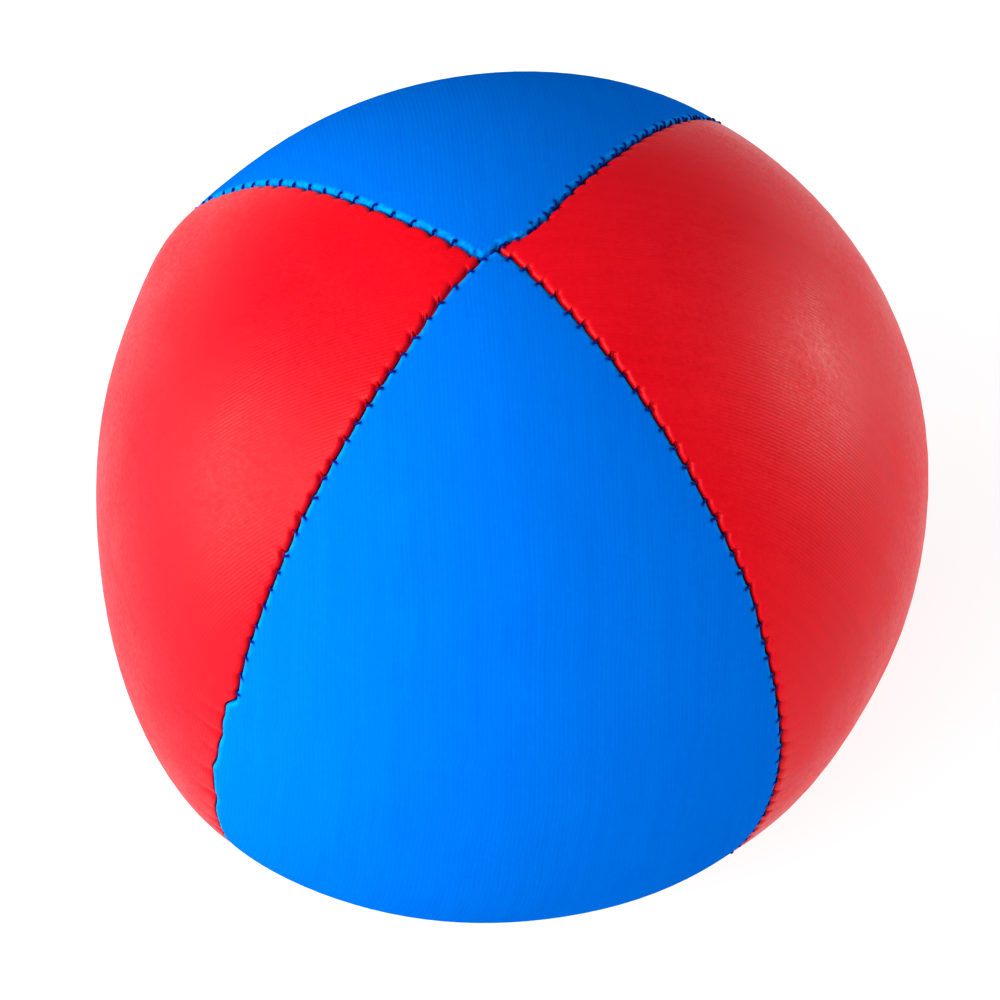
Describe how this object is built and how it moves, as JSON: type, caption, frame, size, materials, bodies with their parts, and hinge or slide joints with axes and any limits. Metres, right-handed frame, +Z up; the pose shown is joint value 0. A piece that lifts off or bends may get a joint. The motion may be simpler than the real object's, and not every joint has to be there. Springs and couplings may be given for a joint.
{
  "type": "beanbag juggling ball",
  "caption": "Round filled beanbag ball for juggling, sewn from alternating blue and red stretch cloth gores with overlocked seams turned inwards.",
  "frame": {"origin": "centre of the settled flat that the ball stands on, under the ball's middle", "axes": "+Z up through the ball's middle; the top ends of the panels meet close to it. -Y faces the blue front panel, and +X faces the red right panel"},
  "size_m": [0.067, 0.067, 0.0664],
  "materials": {
    "blue_cloth": "satin stretch knit, bright blue",
    "red_cloth": "satin stretch knit, bright red",
    "seam_thread": "spun sewing thread, dark blue",
    "millet": "dry smooth grain"
  },
  "bodies": {
    "root": {"panel_blue_front": "blue_cloth", "panel_red_right": "red_cloth", "panel_blue_back": "blue_cloth", "panel_red_left": "red_cloth", "right_seam_needle_thread": "seam_thread", "right_seam_upper_looper_thread": "seam_thread", "right_seam_lower_looper_thread": "seam_thread", "left_seam_needle_thread": "seam_thread", "left_seam_upper_looper_thread": "seam_thread", "left_seam_lower_looper_thread": "seam_thread", "long_seam_needle_thread": "seam_thread", "long_seam_upper_looper_thread": "seam_thread", "long_seam_lower_looper_thread": "seam_thread", "closing_thread": "seam_thread", "filling": "millet"}
  },
  "joints": []
}
